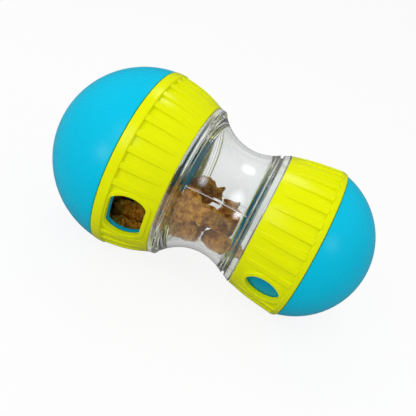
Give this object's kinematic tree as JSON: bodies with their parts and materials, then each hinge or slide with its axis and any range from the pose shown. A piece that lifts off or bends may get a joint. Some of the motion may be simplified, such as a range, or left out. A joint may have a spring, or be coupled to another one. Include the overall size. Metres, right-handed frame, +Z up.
{
  "type": "treat ball",
  "caption": "Waisted rolling treat ball: a clear tube joins a large and a small ball, each with a ribbed collar, an outlet window and a domed cap that turns a shutter.",
  "frame": {"origin": "on the surface that the toy lies on, under the middle of the box round it", "axes": "+X from the large ball to the small one, level; +Z up; -Y is the side with the two outlet windows. The toy's own axis slopes down to the small ball by 4.68 degrees, because both balls touch the surface."},
  "size_m": [0.1722, 0.0952, 0.0952],
  "materials": {
    "clear_plastic": "clear, polished, injection moulded",
    "lime_plastic": "opaque, semi-gloss, injection moulded",
    "cyan_plastic": "opaque, smooth semi-gloss, injection moulded",
    "biscuit": "dry baked dough, matt and crumbly"
  },
  "bodies": {
    "clear_body": {"clear_tube": "clear_plastic", "biscuit_11": "biscuit", "biscuit_12": "biscuit", "biscuit_13": "biscuit", "biscuit_14": "biscuit", "biscuit_15": "biscuit", "biscuit_16": "biscuit", "biscuit_17": "biscuit"},
    "large_end": {"large_collar": "lime_plastic"},
    "large_cap": {"large_dome": "cyan_plastic", "biscuit_01": "biscuit", "biscuit_02": "biscuit", "biscuit_03": "biscuit", "biscuit_04": "biscuit", "biscuit_05": "biscuit", "biscuit_06": "biscuit", "biscuit_07": "biscuit", "biscuit_08": "biscuit", "biscuit_09": "biscuit", "biscuit_10": "biscuit"},
    "small_end": {"small_collar": "lime_plastic"},
    "small_cap": {"small_dome": "cyan_plastic"}
  },
  "joints": [
    {"name": "large_end_off", "type": "slide", "parent": "clear_body", "child": "large_end", "axis": [-0.9967, 0, 0.0815], "range_m": [0, 0.03]},
    {"name": "large_shutter_turn", "type": "hinge", "parent": "large_end", "child": "large_cap", "pos_m": [-0.03856, 0, 0.04753], "axis": [0.9967, 0, -0.0815], "range_deg": [0, 40]},
    {"name": "small_end_off", "type": "slide", "parent": "clear_body", "child": "small_end", "axis": [0.9967, 0, -0.0815], "range_m": [0, 0.03]},
    {"name": "small_shutter_turn", "type": "hinge", "parent": "small_end", "child": "small_cap", "pos_m": [0.04586, 0, 0.04062], "axis": [-0.9967, 0, 0.0815], "range_deg": [0, 32]}
  ]
}
